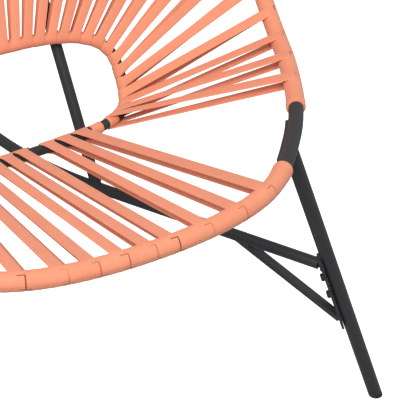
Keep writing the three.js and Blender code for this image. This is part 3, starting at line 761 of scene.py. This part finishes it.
def weld(name, point, axis, radius, normal):
    """A small fillet of weld round a tube where it meets a face."""
    d, n = unit(axis), unit(normal)
    side = unit(np.cross(d, vec(0.31, 0.2, 0.9)))
    other = np.cross(d, side)
    rings = []
    for a in np.linspace(0, 2 * math.pi, 64, endpoint=False):
        out = side * math.cos(a) + other * math.sin(a)
        on_face = point + out * radius - d * (np.dot(out * radius, n) / np.dot(d, n))
        rings.append(circle_points(on_face, out, d, WELD_BEAD * (1 + 0.12 * math.sin(11 * a)), 10))
    skin(name, rings, True, powder)


for side, label in ((1, "right"), (-1, "left")):
    foot, seat, up, inward, way, bar_start = front_leg(side)
    rod(f"front_leg_{label}_smooth", foot + up * SOLE, seat - up * LEG_END, LEG_R, f"front_leg_{label}")
    foot_plug(f"foot_cap_{label}_moulded", foot, up, f"foot_cap_{label}")
    saddle(f"saddle_{label}_smooth", side, f"saddle_{label}")
    weld(f"weld_bar_{label}", bar_start, way, BAR_R, inward)
    point, _, _, hoop_up = hoop.at(side * STRUT_SHARE)
    top = point - hoop_up * (HOOP_R + LOOP_LIFT + LOOP_T + GAP + STRUT_R)
    path = np.array(bar_path())
    path = path[: len(path) // 2 + 1]
    foot_y = top[1] - math.tan(STRUT_LEAN) * (top[2] - BAR_Z)
    start = vec(side * np.interp(foot_y, path[:, 1], path[:, 0]), foot_y, BAR_Z)
    climb = unit(top - start)
    rod(f"strut_{label}_smooth", start, top + climb * STRUT_REACH, STRUT_R, f"strut_{label}", ease=1.2)
    weld(f"weld_strut_{label}", start + climb * (BAR_R + 0.6), climb, STRUT_R, climb)

rear_up = vec(0, -math.sin(REAR_TILT), math.cos(REAR_TILT))
rear_in = vec(0, -math.cos(REAR_TILT), -math.sin(REAR_TILT))
rear_bar = vec(0, BAR_BACK, BAR_Z) - rear_in * (LEG_R + GAP + PLATE_T + GAP + BAR_R)
rear_foot = rear_bar - rear_up * (rear_bar[2] / rear_up[2])
rod("rear_leg_smooth", rear_foot + rear_up * SOLE, rear_bar + rear_up * REAR_RISE, LEG_R, "rear_leg")
foot_plug("foot_cap_rear_moulded", rear_foot, rear_up, "foot_cap_rear")

# Plates, bolts, braces and the rear plug stay as the part has them
for name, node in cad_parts.items():
    if node.hide_render:
        continue
    finish = powder
    if "bolt" in name:
        finish = bolt_black
    elif "plug" in name:
        finish = rubber
    node.data.materials.clear()
    node.data.materials.append(finish)

# Floor, light and world
floor_size = 12
floor_mesh = bpy.data.meshes.new("floor")
corners = [(x * floor_size, y * floor_size, 0) for x, y in ((-1, -1), (1, -1), (1, 1), (-1, 1))]
floor_mesh.from_pydata(corners, [], [(0, 1, 2, 3)])
floor = bpy.data.objects.new("floor", floor_mesh)
bpy.context.scene.collection.objects.link(floor)
floor_nodes = Nodes("pale_floor")
grain = floor_nodes.noise(3, 2)
floor_nodes.put(
    floor_nodes.shader.inputs["Base Color"],
    floor_nodes.mix(grain, (0.4, 0.4, 0.4, 1), (0.43, 0.43, 0.43, 1)),
)
floor_nodes.shader.inputs["Roughness"].default_value = 0.9
floor_nodes.shader.inputs["Emission Color"].default_value = (1, 1, 1, 1)
# The floor glows for the camera only, so that the background is white and the chair isn't lit from below
seen = floor_nodes.new("ShaderNodeLightPath").outputs["Is Camera Ray"]
floor_nodes.put(floor_nodes.shader.inputs["Emission Strength"], seen)
floor_mesh.materials.append(floor_nodes.material)

world = bpy.data.worlds.new("studio")
world.use_nodes = True
world.node_tree.nodes["Background"].inputs["Color"].default_value = (1, 1, 1, 1)
world.node_tree.nodes["Background"].inputs["Strength"].default_value = 0.58
bpy.context.scene.world = world


def area(name, place, target, size, power):
    light = bpy.data.lights.new(name, "AREA")
    light.energy = power
    light.size = size
    lamp = bpy.data.objects.new(name, light)
    x, y, z = vec(*target) - vec(*place)
    lamp.location = place
    lamp.rotation_euler = (math.atan2(math.hypot(x, y), -z), 0, math.atan2(y, x) - math.pi / 2)
    bpy.context.scene.collection.objects.link(lamp)


area("key", (-1.6, -1.8, 3.0), (0, 0, 0.3), 1.2, 100)
area("fill", (2.4, -0.8, 1.9), (0, 0, 0.4), 2.0, 12)

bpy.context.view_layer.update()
